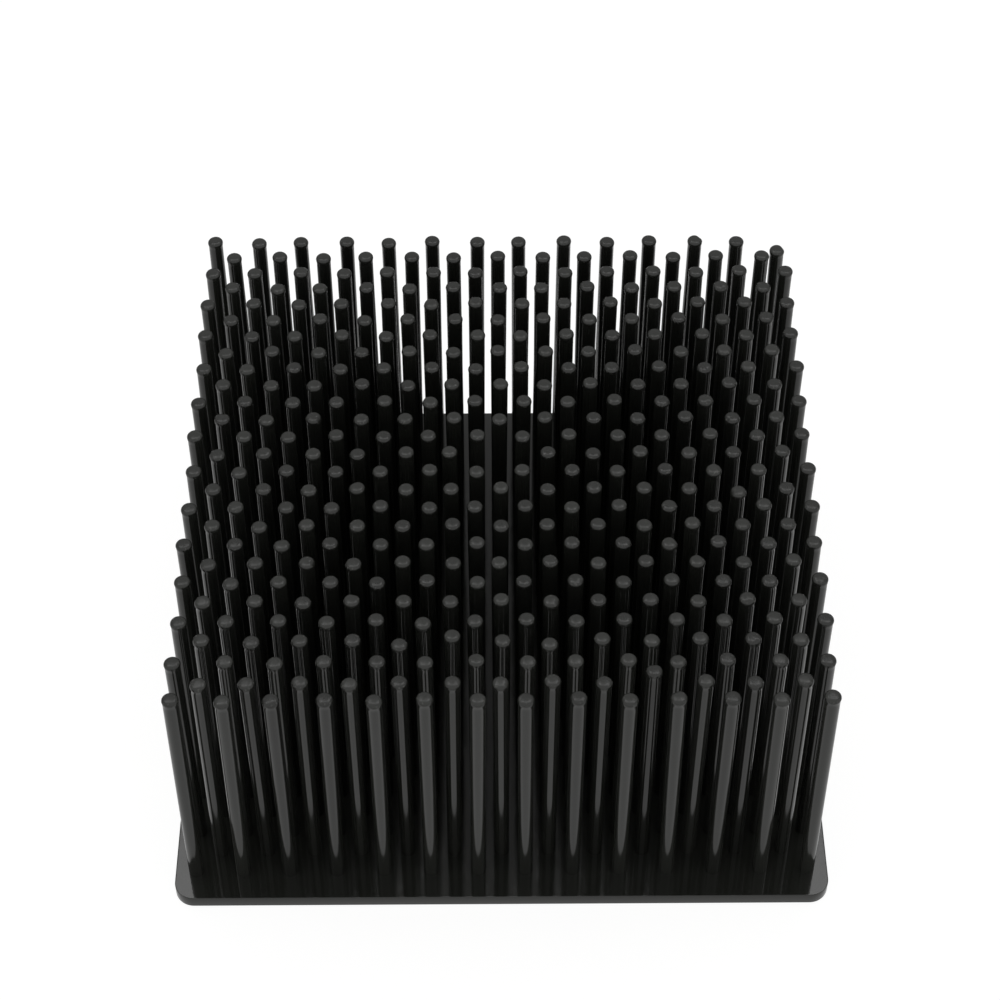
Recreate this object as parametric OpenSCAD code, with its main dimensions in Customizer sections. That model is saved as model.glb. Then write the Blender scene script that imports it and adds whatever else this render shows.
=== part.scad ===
// Pin fin heat sink.
// A thin square plate with a dense field of round pins standing on it, pushed out of the
// same blank of aluminium in one cold forging stroke and then anodised black. Full rows and
// rows that hold one pin fewer take turns, so each pin faces the gap in front of it.
// Seen from above, X runs to the right and Y to the back. The underside lies on Z = 0, and
// the origin is at the middle of the plate.

/* [Plate] */
// Thickness of the plate
plate_t = 2.1; // [1:0.1:8]
// Radius of the plate's four upright corners
corner_r = 3; // [0.5:0.5:8]
// From the outermost pins' axes to the plate's left and right edges
side_margin = 3.2; // [1.5:0.1:15]
// From the front row's axes to the plate's front edge
front_margin = 4.9; // [1.5:0.1:15]
// From the back row's axes to the plate's back edge
back_margin = 1.5; // [1.5:0.1:15]

/* [Pin field] */
// Pins in a full row, and full rows from front to back
row_pins = 14; // [4:1:16]
// Distance between neighbouring pins of a row, and between full rows
pitch = 7.2; // [6.6:0.1:12]
// Height of the pins above the plate
pin_h = 44; // [10:1:70]
// Diameter of a pin's shaft
pin_d = 2.3; // [1.6:0.1:3]
// Whether the place in the very middle of the field is left without a pin
bare_middle = true; // [true, false]

/* [Pin tips] */
// How far the tip stands out past the shaft all round, where the forged metal swelled
tip_swell = 0.09; // [0:0.01:0.2]
// Radius of the tip's rounded rim
rim_r = 0.5; // [0.2:0.05:0.6]
// Length of the tip over which the pin widens and rounds off
tip_len = 1.2; // [0.8:0.1:4]

/* [Straightness] */
// How far at most an ordinary pin's tip stands off true, along X or along Y
tip_wander = 0.22; // [0:0.02:0.4]

/* [Hidden] */
anodised_black = "#1d1e1e";

// Field and plate
field = (row_pins - 1) * pitch;
plate_w = field + 2 * side_margin;
plate_d = field + front_margin + back_margin;
field_y = (front_margin - back_margin) / 2;
rows = 2 * row_pins - 1;
middle_row = row_pins - 1;

// Pins reach this far down into the plate, which makes plate and pins one solid
root = plate_t / 4;

// Tip, and the clear gap that it leaves to the nearest tips in the rows before and behind
tip_r = pin_d / 2 + tip_swell;
rim = min(rim_r, tip_r / 2);
tip_gap = pitch / sqrt(2) - 2 * tip_r;

// Steps in degrees that spread the small leans without a visible rule
WANDER_X = 137.5;
WANDER_Y = 222.5;

// How far the first rows lean as a whole, front to back, as shares of the gap between tips
ROW_LEAN = [0.12, -0.13, -0.08];

// Pins that were knocked out of line, as [row, place, tip's shift in X, in Y], with the
// shifts as shares of the gap between tips, so that a bent pin never reaches its neighbour.
// Rows are counted from the front and places from the left, both from 0.
BENT = [
    [1, 9, 0.05, 0.6],
    [3, 4, -0.1, -0.3],
    [3, 5, 0.05, 0.3],
    [3, 7, -0.1, -0.3],
    [4, 5, -0.2, -0.2],
    [11, 11, 0, -0.35],
    [13, 5, -0.2, 0.1],
    [26, 13, -0.3, -0.9],
];

// Facets round a plate corner, a pin and its rim
CORNER_FN = 64;
PIN_FN = 32;
RIM_FN = 16;

// Pins in a row: odd rows lie between the full ones and hold one fewer
function pins_in(row) = row_pins - row % 2;

// Where a pin's axis meets the plate
function foot(row, place) = [
    (place - (pins_in(row) - 1) / 2) * pitch,
    (row - middle_row) * pitch / 2 + field_y
];

// Whether a place is the very middle one
function is_middle(row, place) = row == middle_row && 2 * place == pins_in(row) - 1;

// A row's own lean from front to back
function row_lean(row) = row < len(ROW_LEAN) ? ROW_LEAN[row] * tip_gap : 0;

// How far a pin's tip stands off true: a bent pin's listed shift, else its row's lean with
// a small wander of its own
function lean(row, place) =
    let (
        listed = [for (b = BENT) if (b[0] == row && b[1] == place) [b[2], b[3]]],
        i = row * row_pins + place
    )
    len(listed) > 0
        ? listed[0] * tip_gap
        : [0, row_lean(row)] + tip_wander * [sin(i * WANDER_X), cos(i * WANDER_Y)];

module rounded_rectangle(w, d, r) {
    square([w - 2 * r, d], center = true);
    square([w, d - 2 * r], center = true);
    for (x = [-1, 1], y = [-1, 1])
        translate([x * (w / 2 - r), y * (d / 2 - r)]) circle(r = r, $fn = CORNER_FN);
}

module plate() {
    linear_extrude(plate_t) rounded_rectangle(plate_w, plate_d, corner_r);
}

// One pin on its own axis: a straight shaft that widens a little to a tip with a round rim
module pin() {
    rotate_extrude($fn = PIN_FN) {
        polygon([
            [0, -root],
            [pin_d / 2, -root],
            [pin_d / 2, pin_h - tip_len],
            [tip_r, pin_h - rim],
            [tip_r - rim, pin_h - rim],
            [tip_r - rim, pin_h],
            [0, pin_h]
        ]);
        translate([tip_r - rim, pin_h - rim]) circle(r = rim, $fn = RIM_FN);
    }
}

// Tips a pin about its foot, so that its tip moves by the given shift
module leaning(shift) {
    rotate([-atan(shift[1] / pin_h), atan(shift[0] / pin_h), 0]) children();
}

module pin_field() {
    for (row = [0 : rows - 1], place = [0 : pins_in(row) - 1])
        if (!(bare_middle && is_middle(row, place)))
            translate(concat(foot(row, place), plate_t))
                leaning(lean(row, place))
                    pin();
}

module heat_sink() {
    color(anodised_black) {
        plate();
        pin_field();
    }
}

heat_sink();
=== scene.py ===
"""Dresses a cold-forged pin fin heat sink over its CAD frame.

The object is one piece of aluminium. A forging stroke pushed the thin square plate and its
dense field of round pins out of one blank, and the whole was then anodised black. One mesh
stands for the CAD solid. It keeps that solid's sizes and adds what forging and handling
leave behind: faintly domed tips, each turned its own way, knocked rims, the die's fine
lines along the shafts, and a small round on the plate's edges.

All sizes are in metres unless a name ends in _mm.
"""

import logging
import math
import random
from dataclasses import dataclass, field
from enum import Enum
from typing import Any, Iterator

import bpy
from mathutils import Matrix, Vector


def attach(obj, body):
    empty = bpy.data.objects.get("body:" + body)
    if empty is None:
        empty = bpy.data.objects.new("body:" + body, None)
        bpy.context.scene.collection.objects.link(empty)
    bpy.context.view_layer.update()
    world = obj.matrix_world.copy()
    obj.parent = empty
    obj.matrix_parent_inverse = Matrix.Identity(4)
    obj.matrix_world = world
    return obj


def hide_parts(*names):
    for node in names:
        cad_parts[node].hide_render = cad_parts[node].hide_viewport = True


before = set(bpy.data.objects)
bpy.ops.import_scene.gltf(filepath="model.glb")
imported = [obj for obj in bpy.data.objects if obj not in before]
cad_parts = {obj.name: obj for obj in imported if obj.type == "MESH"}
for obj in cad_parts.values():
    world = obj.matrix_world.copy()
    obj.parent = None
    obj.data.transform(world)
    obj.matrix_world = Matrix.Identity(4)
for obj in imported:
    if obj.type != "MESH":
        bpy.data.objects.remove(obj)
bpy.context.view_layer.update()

NODE = "heat_sink"
MM = 0.001

log = logging.getLogger("heat_sink")


# ---------------------------------------------------------------------------
# Small helpers
# ---------------------------------------------------------------------------


def srgb(code: str) -> tuple[float, float, float, float]:
    """Turns an sRGB hex colour into the linear colour that a shader takes.

    Args:
        code: The colour as "#rrggbb".

    Returns:
        Linear red, green, blue, and an alpha of 1.
    """
    values = [int(code[i : i + 2], 16) / 255 for i in (1, 3, 5)]
    r, g, b = [v / 12.92 if v <= 0.04045 else ((v + 0.055) / 1.055) ** 2.4 for v in values]
    return (r, g, b, 1.0)


def per_mm(size_mm: float) -> float:
    """Gives the scale of a noise whose features are about this wide.

    Args:
        size_mm: The features' width.

    Returns:
        The features per metre.
    """
    return 1.0 / (size_mm * MM)


def add_node(
    tree: bpy.types.NodeTree,
    kind: str,
    settings: dict[str, Any] | None = None,
    inputs: dict[Any, Any] | None = None,
) -> bpy.types.Node:
    """Adds a node, sets its options and fills or links its inputs.

    Args:
        tree: The tree that the node goes into.
        kind: The node's type, such as "ShaderNodeBump".
        settings: Attribute names of the node, with their values.
        inputs: Input names or numbers, each with a plain value or with the output socket
            that it is linked to.

    Returns:
        The new node.
    """
    node = tree.nodes.new(kind)
    for name, value in (settings or {}).items():
        setattr(node, name, value)
    for name, value in (inputs or {}).items():
        if isinstance(value, bpy.types.NodeSocket):
            tree.links.new(value, node.inputs[name])
        else:
            node.inputs[name].default_value = value
    return node


def new_tree(owner: bpy.types.Material | bpy.types.World) -> bpy.types.NodeTree:
    """Turns on a material's or a world's nodes and empties its tree.

    Args:
        owner: The material or world.

    Returns:
        Its tree.
    """
    owner.use_nodes = True
    owner.node_tree.nodes.clear()
    return owner.node_tree


def seen_directly(tree: bpy.types.NodeTree, path: bpy.types.Node) -> bpy.types.NodeSocket:
    """Tells the rays that see a thing, straight or mirrored or through glass, from its light.

    Args:
        tree: The tree that the nodes go into.
        path: Its Light Path node.

    Returns:
        The socket that is 1 for such rays and 0 for the rest.
    """
    seen = path.outputs["Is Camera Ray"]
    for kind in ("Is Glossy Ray", "Is Transmission Ray"):
        seen = add_node(
            tree, "ShaderNodeMath", {"operation": "MAXIMUM"}, {0: seen, 1: path.outputs[kind]}
        ).outputs[0]
    return seen


# ---------------------------------------------------------------------------
# Finishes
# ---------------------------------------------------------------------------


class Zone(Enum):
    """The surfaces of the forging, as the material slots that their faces use."""

    PLATE = 0
    SHAFT = 1
    TIP = 2


@dataclass(frozen=True)
class BlackAnodisedAluminium:
    """Black anodised aluminium, sealed and semi-gloss, on a cold-forged surface.

    Anodising grows a hard, glassy oxide film out of the metal. The film is dyed black, so
    deep that no light comes back from the metal under it, and then sealed. The eye sees
    near black, and over it the room mirrored sharply but weakly, as in dark glass: about
    a thirtieth of the light head on, and more towards a grazing angle.
    """

    name: str
    dye: str = "#21221f"
    worn_dye: str = "#4a4a47"
    film_ior: float = 1.45
    film_roughness: float = 0.10
    roughness_spread: float = 0.02
    grain_mm: tuple[float, float, float] = (0.5, 0.5, 0.5)
    grain_depth_mm: float = 0.004
    wave_mm: float = 6.0
    wave_depth_mm: float = 0.01
    wear: float = 0.0
    speck_mm: float = 0.35

    def material(self) -> bpy.types.Material:
        """Builds the finish as a procedural material.

        Returns:
            The material.
        """
        made = bpy.data.materials.new(self.name)
        tree = new_tree(made)
        place = add_node(tree, "ShaderNodeTexCoord").outputs["Object"]
        stretched = add_node(
            tree,
            "ShaderNodeMapping",
            inputs={"Vector": place, "Scale": [per_mm(size) for size in self.grain_mm]},
        )
        # Grain of the forged surface: round on the tips, drawn out along the shafts.
        grain = add_node(
            tree,
            "ShaderNodeTexNoise",
            inputs={"Vector": stretched.outputs["Vector"], "Scale": 1.0, "Detail": 3.0},
        )
        # Slow swell of the metal, which bends a reflected edge a little.
        wave = add_node(
            tree,
            "ShaderNodeTexNoise",
            inputs={"Vector": place, "Scale": per_mm(self.wave_mm), "Detail": 1.0},
        )
        tone = add_node(tree, "ShaderNodeAttribute", {"attribute_name": PIN_TONE})
        rough = add_node(
            tree,
            "ShaderNodeMapRange",
            inputs={
                "Value": grain.outputs[0],
                "From Min": 0.3,
                "From Max": 0.7,
                "To Min": self.film_roughness - self.roughness_spread,
                "To Max": self.film_roughness + self.roughness_spread,
            },
        )
        # Dye takes a little differently from pin to pin.
        shade = add_node(
            tree,
            "ShaderNodeMapRange",
            inputs={"Value": tone.outputs["Fac"], "To Min": 0.75, "To Max": 1.25},
        )
        dyed = add_node(
            tree,
            "ShaderNodeVectorMath",
            {"operation": "SCALE"},
            {0: srgb(self.dye)[:3], "Scale": shade.outputs[0]},
        )
        colour = dyed.outputs[0]
        if self.wear > 0:
            colour = self.worn(tree, place, colour)
        swell = add_node(
            tree,
            "ShaderNodeBump",
            inputs={
                "Strength": 1.0,
                "Distance": self.wave_depth_mm * MM,
                "Height": wave.outputs[0],
            },
        )
        surface = add_node(
            tree,
            "ShaderNodeBump",
            inputs={
                "Strength": 1.0,
                "Distance": self.grain_depth_mm * MM,
                "Height": grain.outputs[0],
                "Normal": swell.outputs[0],
            },
        )
        shader = add_node(
            tree,
            "ShaderNodeBsdfPrincipled",
            inputs={
                "Base Color": colour,
                "Roughness": rough.outputs[0],
                "IOR": self.film_ior,
                "Normal": surface.outputs[0],
            },
        )
        add_node(tree, "ShaderNodeOutputMaterial", inputs={"Surface": shader.outputs["BSDF"]})
        return made

    def worn(
        self,
        tree: bpy.types.NodeTree,
        place: bpy.types.NodeSocket,
        colour: bpy.types.NodeSocket,
    ) -> bpy.types.NodeSocket:
        """Rubs the dye thin in specks along the rims, where pins knock against things.

        Args:
            tree: The material's tree.
            place: The point's own coordinates.
            colour: The colour of the unworn surface.

        Returns:
            The socket with the worn colour.
        """
        rim = add_node(tree, "ShaderNodeAttribute", {"attribute_name": RIM_WEAR})
        specks = add_node(
            tree,
            "ShaderNodeTexNoise",
            inputs={"Vector": place, "Scale": per_mm(self.speck_mm), "Detail": 2.0},
        )
        spots = add_node(
            tree,
            "ShaderNodeMapRange",
            inputs={"Value": specks.outputs[0], "From Min": 0.60, "From Max": 0.70},
        )
        amount = add_node(
            tree,
            "ShaderNodeMath",
            {"operation": "MULTIPLY"},
            {0: rim.outputs["Fac"], 1: spots.outputs[0]},
        )
        held = add_node(
            tree,
            "ShaderNodeMath",
            {"operation": "MULTIPLY"},
            {0: amount.outputs[0], 1: self.wear},
        )
        mixed = add_node(
            tree,
            "ShaderNodeMix",
            {"data_type": "RGBA"},
            {"Factor": held.outputs[0], "A": colour, "B": srgb(self.worn_dye)},
        )
        return mixed.outputs["Result"]


# Point attributes of the mesh that the finishes read.
PIN_TONE = "pin_tone"
RIM_WEAR = "rim_wear"

FINISHES = {
    # Coined flat between polished dies: the smoothest of the three, close to a dark mirror.
    Zone.PLATE: BlackAnodisedAluminium(
        "black_anodised_coined_plate",
        film_roughness=0.07,
        grain_mm=(0.6, 0.6, 0.6),
        grain_depth_mm=0.002,
        wave_mm=7.0,
        wave_depth_mm=0.015,
    ),
    # Squeezed out through round holes, which draws faint lines along the pin.
    Zone.SHAFT: BlackAnodisedAluminium(
        "black_anodised_drawn_shaft",
        film_roughness=0.13,
        grain_mm=(0.4, 0.4, 12.0),
        grain_depth_mm=0.0015,
        wave_mm=5.0,
        wave_depth_mm=0.01,
    ),
    # The free end, which no die touched: a little rougher, with knocked rims.
    Zone.TIP: BlackAnodisedAluminium(
        "black_anodised_free_tip",
        film_roughness=0.25,
        grain_mm=(0.3, 0.3, 0.3),
        grain_depth_mm=0.005,
        wave_mm=1.2,
        wave_depth_mm=0.012,
        wear=0.8,
    ),
}


# ---------------------------------------------------------------------------
# The heat sink
# ---------------------------------------------------------------------------


@dataclass
class Shell:
    """Points and faces gathered for one mesh, each face with the zone that it shows."""

    points: list[tuple[float, float, float]] = field(default_factory=list)
    tones: list[float] = field(default_factory=list)
    rims: list[float] = field(default_factory=list)
    faces: list[tuple[int, ...]] = field(default_factory=list)
    zones: list[int] = field(default_factory=list)
    smooth: list[bool] = field(default_factory=list)

    def add_point(self, at: Vector, tone: float = 0.5, rim: float = 0.0) -> int:
        """Adds a point.

        Args:
            at: Its place.
            tone: The dye's shade there, from 0 to 1.
            rim: How much wear can reach it, from 0 to 1.

        Returns:
            Its number.
        """
        self.points.append(tuple(at))
        self.tones.append(tone)
        self.rims.append(rim)
        return len(self.points) - 1

    def add_face(self, corners: list[int], zone: Zone, smooth: bool = True) -> None:
        """Adds a face.

        Args:
            corners: Its points' numbers, anticlockwise seen from outside.
            zone: The zone that it shows.
            smooth: Whether it shades as part of a curve.
        """
        self.faces.append(tuple(corners))
        self.zones.append(zone.value)
        self.smooth.append(smooth)

    def add_band(self, low: list[int], high: list[int], zone: Zone) -> None:
        """Joins two rings of points with a band of faces.

        Args:
            low: The numbers of the ring below or outside.
            high: The numbers of the other ring, which has as many points.
            zone: The zone that the band shows.
        """
        count = len(low)
        for i in range(count):
            j = (i + 1) % count
            self.add_face([low[i], low[j], high[j], high[i]], zone)

    def to_object(self, name: str) -> bpy.types.Object:
        """Makes the mesh and its object, with the finishes' attributes.

        Args:
            name: The name of both.

        Returns:
            The object, linked to the scene.
        """
        mesh = bpy.data.meshes.new(name)
        mesh.from_pydata(self.points, [], self.faces)
        for key, values in ((PIN_TONE, self.tones), (RIM_WEAR, self.rims)):
            mesh.attributes.new(key, "FLOAT", "POINT").data.foreach_set("value", values)
        mesh.polygons.foreach_set("material_index", self.zones)
        mesh.polygons.foreach_set("use_smooth", self.smooth)
        mesh.update()
        made = bpy.data.objects.new(name, mesh)
        bpy.context.scene.collection.objects.link(made)
        return made


@dataclass
class Plate:
    """The thin square plate, with its rounded upright corners and its broken edges."""

    width: float = 100.0 * MM
    depth: float = 100.0 * MM
    thickness: float = 2.1 * MM
    corner_radius: float = 3.0 * MM
    edge_radius: float = 0.08 * MM
    corner_steps: int = 14
    edge_steps: int = 4

    def outline(self, inset: float, height: float) -> list[Vector]:
        """Gives the rounded square outline, anticlockwise from above.

        Args:
            inset: How far inside the plate's full outline it runs.
            height: Its height.

        Returns:
            Its points.
        """
        radius = self.corner_radius - inset
        points = []
        for corner, (sx, sy) in enumerate(((1, 1), (-1, 1), (-1, -1), (1, -1))):
            cx = sx * (self.width / 2 - self.corner_radius)
            cy = sy * (self.depth / 2 - self.corner_radius)
            for step in range(self.corner_steps + 1):
                turn = math.radians(90) * (corner + step / self.corner_steps)
                points.append(
                    Vector((cx + radius * math.cos(turn), cy + radius * math.sin(turn), height))
                )
        return points

    def build(self, shell: Shell) -> None:
        """Adds the plate to the shell.

        The flat faces shade flat. A narrow ring round each of them keeps the bend of the
        broken edge out of their reflections.

        Args:
            shell: The shell that the plate goes into.
        """
        rings = []
        ring_inset = 2 * self.edge_radius
        profile = [(ring_inset, 0.0)]
        for step in range(self.edge_steps + 1):
            turn = math.radians(90) * step / self.edge_steps
            rise = self.edge_radius * (1 - math.cos(turn))
            profile.append((self.edge_radius * (1 - math.sin(turn)), rise))
        profile += [(inset, self.thickness - rise) for inset, rise in reversed(profile)]
        for inset, height in profile:
            rings.append([shell.add_point(p) for p in self.outline(inset, height)])
        for low, high in zip(rings, rings[1:]):
            shell.add_band(low, high, Zone.PLATE)
        shell.add_face(list(reversed(rings[0])), Zone.PLATE, smooth=False)
        shell.add_face(rings[-1], Zone.PLATE, smooth=False)


@dataclass
class Pin:
    """One pin on its own axis, from just under the plate's top to its crowned tip."""

    height: float = 44.0 * MM
    shaft_radius: float = 1.15 * MM
    tip_radius: float = 1.24 * MM
    rim_radius: float = 0.5 * MM
    tip_length: float = 1.2 * MM
    root: float = 0.4 * MM
    crown_slope: float = math.radians(7.5)
    flat_radius: float = 0.35 * MM
    sides: int = 24
    rim_steps: int = 4
    # A ring just below the swell, so that the shaft shades straight up to it.
    swell_guard: float = 0.4 * MM
    # The share of wear on the swell, at the ends of the rim, over its crest, and on the crown.
    swell_wear: float = 0.1
    rim_wear: tuple[float, float] = (0.3, 0.7)
    crown_wear: float = 0.15
    middle_wear: float = 0.1

    def profile(self) -> list[tuple[float, float, Zone, float]]:
        """Gives the pin's outline from the root up to the flat in the middle of its crown.

        Returns:
            Rings as radius, height, the zone of the band below the ring, and the share
            of wear that reaches it.
        """
        core = self.tip_radius - self.rim_radius
        edge = core + self.rim_radius * math.sin(self.crown_slope)
        crown_drop = self.crown_slope * (edge - self.flat_radius) / 2
        rim_z = self.height - crown_drop - self.rim_radius * math.cos(self.crown_slope)
        neck_z = self.height - self.tip_length
        rings = [
            (self.shaft_radius, -self.root, Zone.SHAFT, 0.0),
            (self.shaft_radius, neck_z - self.swell_guard, Zone.SHAFT, 0.0),
            (self.shaft_radius, neck_z, Zone.SHAFT, 0.0),
            (
                (self.shaft_radius + self.tip_radius) / 2,
                (neck_z + rim_z) / 2,
                Zone.SHAFT,
                self.swell_wear,
            ),
        ]
        upright = math.radians(90)
        least, more = self.rim_wear
        for step in range(self.rim_steps + 1):
            turn = upright + (self.crown_slope - upright) * (step / self.rim_steps)
            radius = core + self.rim_radius * math.sin(turn)
            height = rim_z + self.rim_radius * math.cos(turn)
            wear = least + more * math.sin(math.pi * (step + 1) / (self.rim_steps + 2))
            rings.append((radius, height, Zone.TIP, wear))
        # The crown bends evenly from the flat in its middle out to the rim.
        for share in (0.5, 0.0):
            radius = self.flat_radius + share * (edge - self.flat_radius)
            height = self.height - crown_drop * share**2
            rings.append((radius, height, Zone.TIP, self.crown_wear))
        return rings


@dataclass(frozen=True)
class Knock:
    """A dent in a tip's rim, as left when a pin strikes a hard edge."""

    turn: float
    depth: float
    width: float = math.radians(38)

    def dent_at(self, turn: float) -> float:
        """Gives the dent's depth at a bearing round the tip.

        Args:
            turn: The bearing.

        Returns:
            The depth, before the rim's share of it.
        """
        off = math.remainder(turn - self.turn, 2 * math.pi)
        return self.depth * math.exp(-2 * (off / self.width) ** 2)


@dataclass
class PinField:
    """The staggered field of pins, with its bent pins and its bare middle place.

    A pin is named by its row, from the front, and its place in the row, from the left. The
    bent pins have their tips' shift along X and Y as shares of the gap between tips, and the
    knocked ones the bearing of the dent, in degrees from X.
    """

    pin: Pin = field(default_factory=Pin)
    row_pins: int = 14
    pitch: float = 7.2 * MM
    centre_y: float = 1.7 * MM
    plate_top: float = 2.1 * MM
    wander: float = 0.22 * MM
    wander_step: tuple[float, float] = (137.5, 222.5)
    row_lean: tuple[float, ...] = (0.12, -0.13, -0.08)
    bent: dict[tuple[int, int], tuple[float, float]] = field(
        default_factory=lambda: {
            (1, 9): (0.05, 0.6),
            (3, 4): (-0.1, -0.3),
            (3, 5): (0.05, 0.3),
            (3, 7): (-0.1, -0.3),
            (4, 5): (-0.2, -0.2),
            (11, 11): (0.0, -0.35),
            (13, 5): (-0.2, 0.1),
            (26, 13): (-0.3, -0.9),
        }
    )
    knocked: dict[tuple[int, int], float] = field(
        default_factory=lambda: {
            (3, 11): -60,
            (5, 11): -80,
            (7, 2): -10,
            (11, 11): -170,
            (15, 2): -20,
            (15, 11): -150,
            (16, 11): -70,
            (18, 11): -50,
            (23, 11): -60,
        }
    )
    knock_depth: float = 0.16 * MM
    small_knock_share: float = 0.10
    small_knock_depth: tuple[float, float] = (0.05 * MM, 0.10 * MM)
    tip_slope: float = math.radians(0.7)
    seed: int = 11

    def pins_in(self, row: int) -> int:
        """Gives the pins in a row: odd rows lie between the full ones and hold one fewer.

        Args:
            row: The row, from the front.

        Returns:
            The number of pins.
        """
        return self.row_pins - row % 2

    def tip_gap(self) -> float:
        """Gives the clear gap between the tips of pins in neighbouring rows.

        Returns:
            The gap.
        """
        return self.pitch / math.sqrt(2) - 2 * self.pin.tip_radius

    def lean(self, row: int, place: int) -> tuple[float, float]:
        """Gives how far a pin's tip stands off true, as the CAD solid has it.

        Args:
            row: The pin's row, from the front.
            place: Its place in the row, from the left.

        Returns:
            The shift along X and along Y.
        """
        if (row, place) in self.bent:
            dx, dy = self.bent[row, place]
            return dx * self.tip_gap(), dy * self.tip_gap()
        i = row * self.row_pins + place
        own_lean = self.row_lean[row] * self.tip_gap() if row < len(self.row_lean) else 0.0
        return (
            self.wander * math.sin(math.radians(i * self.wander_step[0])),
            self.wander * math.cos(math.radians(i * self.wander_step[1])) + own_lean,
        )

    def places(self) -> Iterator[tuple[int, int, Matrix]]:
        """Walks the field from the front left, leaving out the bare middle place.

        Yields:
            Row, place, and the matrix that stands a pin there with its lean.
        """
        middle = self.row_pins - 1
        for row in range(2 * self.row_pins - 1):
            count = self.pins_in(row)
            for place in range(count):
                if row == middle and 2 * place == count - 1:
                    continue
                foot = Vector(
                    (
                        (place - (count - 1) / 2) * self.pitch,
                        (row - middle) * self.pitch / 2 + self.centre_y,
                        self.plate_top,
                    )
                )
                dx, dy = self.lean(row, place)
                tip = Matrix.Rotation(math.atan(dx / self.pin.height), 4, "Y")
                tip = tip @ Matrix.Rotation(-math.atan(dy / self.pin.height), 4, "X")
                yield row, place, Matrix.Translation(foot) @ tip

    def build(self, shell: Shell) -> int:
        """Adds every pin to the shell.

        Args:
            shell: The shell that the pins go into.

        Returns:
            How many pins were added.
        """
        dice = random.Random(self.seed)
        rings = self.pin.profile()
        added = 0
        for row, place, stand in self.places():
            knocks = self.knocks_of(row, place, dice)
            self.build_pin(shell, rings, stand, knocks, dice)
            added += 1
        return added

    def knocks_of(self, row: int, place: int, dice: random.Random) -> list[Knock]:
        """Gives a pin's knocks: its listed one, or now and then a small one.

        Args:
            row: The pin's row.
            place: Its place in the row.
            dice: The field's source of chance.

        Returns:
            The knocks in its rim.
        """
        chance, turn = dice.random(), dice.uniform(0, 360)
        depth = dice.uniform(*self.small_knock_depth)
        if (row, place) in self.knocked:
            return [Knock(math.radians(self.knocked[row, place]), self.knock_depth)]
        if chance < self.small_knock_share:
            return [Knock(math.radians(turn), depth)]
        return []

    def build_pin(
        self,
        shell: Shell,
        rings: list[tuple[float, float, Zone, float]],
        stand: Matrix,
        knocks: list[Knock],
        dice: random.Random,
    ) -> None:
        """Adds one pin, with its tip turned a little its own way.

        Args:
            shell: The shell that the pin goes into.
            rings: The pin's profile.
            stand: Where the pin stands, and its lean.
            knocks: Dents in its rim.
            dice: The field's source of chance.
        """
        tone = dice.random()
        slope = Vector((dice.gauss(0, self.tip_slope), dice.gauss(0, self.tip_slope)))
        sides = self.pin.sides
        rows = []
        for radius, height, zone, rim in rings:
            points = []
            for side in range(sides):
                turn = 2 * math.pi * side / sides
                x, y, z = radius * math.cos(turn), radius * math.sin(turn), height
                if zone is Zone.TIP:
                    # The tip's own slope only ever takes metal off, so the height holds.
                    z += slope.x * x + slope.y * y - slope.length * self.pin.tip_radius
                    for knock in knocks:
                        dent = rim * knock.dent_at(turn)
                        x -= dent * math.cos(knock.turn)
                        y -= dent * math.sin(knock.turn)
                        z -= dent
                points.append(shell.add_point(stand @ Vector((x, y, z)), tone, rim))
            rows.append(points)
        for (low, high), (_, _, zone, _) in zip(zip(rows, rows[1:]), rings[1:]):
            shell.add_band(low, high, zone)
        crown = Vector((0, 0, self.pin.height - slope.length * self.pin.tip_radius))
        centre = shell.add_point(stand @ crown, tone, self.pin.middle_wear)
        last = rows[-1]
        for side in range(sides):
            shell.add_face([last[side], last[(side + 1) % sides], centre], Zone.TIP)


@dataclass
class HeatSink:
    """The whole forging: plate and pins in one piece."""

    plate: Plate = field(default_factory=Plate)
    pins: PinField = field(default_factory=PinField)

    def build(self) -> bpy.types.Object:
        """Builds the forging as one mesh that stands for its CAD solid.

        Returns:
            The object.
        """
        shell = Shell()
        self.plate.build(shell)
        count = self.pins.build(shell)
        made = shell.to_object("heat_sink_forging")
        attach(made, "root")
        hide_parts(NODE)
        log.info("forging: %d pins, %d faces", count, len(shell.faces))
        return made

    def dress(self, made: bpy.types.Object) -> None:
        """Gives each zone of the forging its finish.

        Args:
            made: The forging.
        """
        for zone in Zone:
            made.data.materials.append(FINISHES[zone].material())
            log.info("finish: %s", FINISHES[zone].name)


# ---------------------------------------------------------------------------
# The studio
# ---------------------------------------------------------------------------


@dataclass(frozen=True)
class SoftBox:
    """A soft box, by its bearing from straight behind and its elevation, both in degrees.

    Its radiance is on the scale on which the white background is 1.
    """

    azimuth: float
    elevation: float
    width: float
    height: float
    radiance: float


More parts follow.
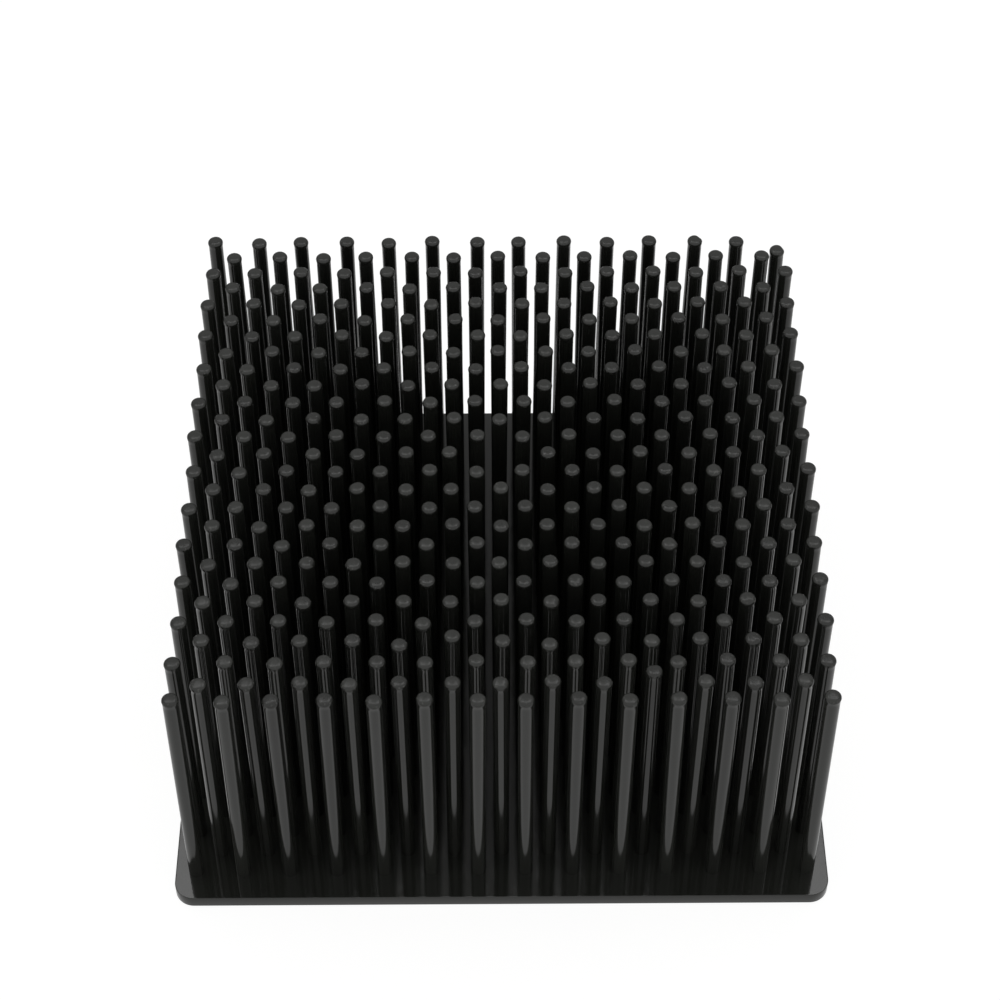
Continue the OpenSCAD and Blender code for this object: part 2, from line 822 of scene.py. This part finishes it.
@dataclass
class Studio:
    """A white room with a white table, three soft boxes high at the back, and the camera.

    Mirrors see the back of the room in shades of white, so the pins' tops show an even grey.
    The boxes are brighter, and show as a paler crescent where a rim tilts towards them and
    on the plate's side margins.
    """

    floor_size: float = 6.0
    floor_colour: str = "#eeeeec"
    # The table is part glow, which whitens it, and part paper, which keeps the shadow.
    floor_glow_share: float = 0.80
    floor_glow: float = 1.14
    floor_mirrored: float = 0.78
    room_light: float = 0.6
    # How bright mirrors see the back of the room at each height: the sine of the elevation,
    # and the share of white. They see the front of the room and the ceiling white.
    room_shades: tuple[tuple[float, float], ...] = (
        (0.0, 0.30),
        (0.50, 0.55),
        (0.66, 0.82),
        (0.75, 0.60),
        (0.81, 0.34),
        (0.85, 0.34),
        (0.91, 1.0),
    )
    box_distance: float = 2.5
    boxes: tuple[SoftBox, ...] = (
        SoftBox(-43.0, 62.5, 1.6, 0.30, 3.0),
        SoftBox(0.0, 67.0, 0.8, 0.30, 1.3),
        SoftBox(43.0, 62.5, 1.6, 0.30, 3.0),
    )
    camera_at: tuple[float, float, float] = (-1.63 * MM, -257.02 * MM, 336.78 * MM)
    camera_tilt: float = 42.15
    camera_turn: float = -0.37
    lens_mm: float = 91.5
    shift_y: float = -0.07

    def build(self) -> None:
        """Builds the floor, the lights and the camera."""
        self.add_floor()
        self.add_room()
        for box in self.boxes:
            self.add_soft_box(box)
        self.add_camera()

    def add_floor(self) -> None:
        """Lays the table top: matt white, with a soft shadow on it."""
        half = self.floor_size / 2
        mesh = bpy.data.meshes.new("table_top")
        corners = [(-half, -half, 0), (half, -half, 0), (half, half, 0), (-half, half, 0)]
        mesh.from_pydata(corners, [], [(0, 1, 2, 3)])
        floor = bpy.data.objects.new("table_top", mesh)
        bpy.context.scene.collection.objects.link(floor)
        white = bpy.data.materials.new("matt_white_paper")
        tree = new_tree(white)
        path = add_node(tree, "ShaderNodeLightPath")
        seen = seen_directly(tree, path)
        share = add_node(
            tree,
            "ShaderNodeMath",
            {"operation": "MULTIPLY"},
            {0: seen, 1: self.floor_glow_share},
        )
        paper = add_node(tree, "ShaderNodeBsdfDiffuse", inputs={"Color": srgb(self.floor_colour)})
        strength = add_node(
            tree,
            "ShaderNodeMapRange",
            inputs={
                "Value": path.outputs["Is Camera Ray"],
                "To Min": self.floor_mirrored,
                "To Max": self.floor_glow,
            },
        )
        glow = add_node(tree, "ShaderNodeEmission", inputs={"Strength": strength.outputs[0]})
        mixed = add_node(
            tree,
            "ShaderNodeMixShader",
            inputs={0: share.outputs[0], 1: paper.outputs[0], 2: glow.outputs[0]},
        )
        add_node(tree, "ShaderNodeOutputMaterial", inputs={"Surface": mixed.outputs[0]})
        mesh.materials.append(white)
        log.info("table top: %.1f m square", self.floor_size)

    def add_room(self) -> None:
        """Makes the room white to look at, shaded in mirrors, and dimmer as a light."""
        world = bpy.data.worlds.new("white_room")
        tree = new_tree(world)
        path = add_node(tree, "ShaderNodeLightPath")
        seen = seen_directly(tree, path)
        direction = add_node(tree, "ShaderNodeTexCoord").outputs["Generated"]
        parts = add_node(tree, "ShaderNodeSeparateXYZ", inputs={0: direction}).outputs
        shades = add_node(tree, "ShaderNodeValToRGB", inputs={0: parts["Z"]})
        ramp = shades.color_ramp
        ramp.interpolation = "EASE"
        while len(ramp.elements) < len(self.room_shades):
            ramp.elements.new(1.0)
        for stop, (sine, share) in zip(ramp.elements, self.room_shades):
            stop.position = sine
            stop.color = (share, share, share, 1.0)
        front = add_node(
            tree, "ShaderNodeMapRange", inputs={0: parts["Y"], "From Min": 0.1, "From Max": -0.1}
        )
        walls = add_node(
            tree,
            "ShaderNodeMix",
            {"data_type": "RGBA"},
            {"Factor": front.outputs[0], "A": shades.outputs["Color"], "B": [1.0] * 4},
        )
        lit = add_node(
            tree,
            "ShaderNodeMix",
            {"data_type": "RGBA"},
            {
                "Factor": seen,
                "A": [self.room_light] * 3 + [1.0],
                "B": walls.outputs["Result"],
            },
        )
        shown = add_node(
            tree,
            "ShaderNodeMix",
            {"data_type": "RGBA"},
            {
                "Factor": path.outputs["Is Camera Ray"],
                "A": lit.outputs["Result"],
                "B": [1.0] * 4,
            },
        )
        room = add_node(tree, "ShaderNodeBackground", inputs={"Color": shown.outputs["Result"]})
        add_node(tree, "ShaderNodeOutputWorld", inputs={"Surface": room.outputs[0]})
        bpy.context.scene.world = world
        log.info("room: white, lights at %.2f", self.room_light)

    def add_soft_box(self, made: SoftBox) -> None:
        """Hangs a soft box high at the back, facing the object.

        Args:
            made: Its place, size and brightness.
        """
        azimuth, elevation = math.radians(made.azimuth), math.radians(made.elevation)
        place = self.box_distance * Vector(
            (
                math.sin(azimuth) * math.cos(elevation),
                math.cos(azimuth) * math.cos(elevation),
                math.sin(elevation),
            )
        )
        light = bpy.data.lights.new("soft_box", "AREA")
        light.shape = "RECTANGLE"
        light.size, light.size_y = made.width, made.height
        light.energy = made.radiance * math.pi * light.size * light.size_y
        box = bpy.data.objects.new("soft_box", light)
        box.location = place
        box.rotation_euler = place.to_track_quat("Z", "Y").to_euler()
        box.visible_camera = False
        bpy.context.scene.collection.objects.link(box)
        log.info("soft box at %.0f degrees: %.2f W", made.azimuth, light.energy)

    def add_camera(self) -> None:
        """Stands the camera in front of and above the object."""
        data = bpy.data.cameras.new("camera")
        data.sensor_width = 36.0
        data.lens = self.lens_mm
        data.shift_y = self.shift_y
        data.clip_start, data.clip_end = 0.01, 20.0
        camera = bpy.data.objects.new("camera", data)
        camera.location = self.camera_at
        camera.rotation_euler = (
            math.radians(self.camera_tilt),
            0.0,
            math.radians(self.camera_turn),
        )
        bpy.context.scene.collection.objects.link(camera)
        bpy.context.scene.camera = camera
        bpy.context.scene.view_settings.view_transform = "Standard"
        log.info("camera: %.1f mm", self.lens_mm)


def main() -> None:
    """Builds the heat sink, dresses it and sets up the studio."""
    logging.basicConfig(level=logging.INFO, format="%(name)s: %(message)s")
    sink = HeatSink()
    sink.dress(sink.build())
    Studio().build()


if __name__ == "__main__":
    main()
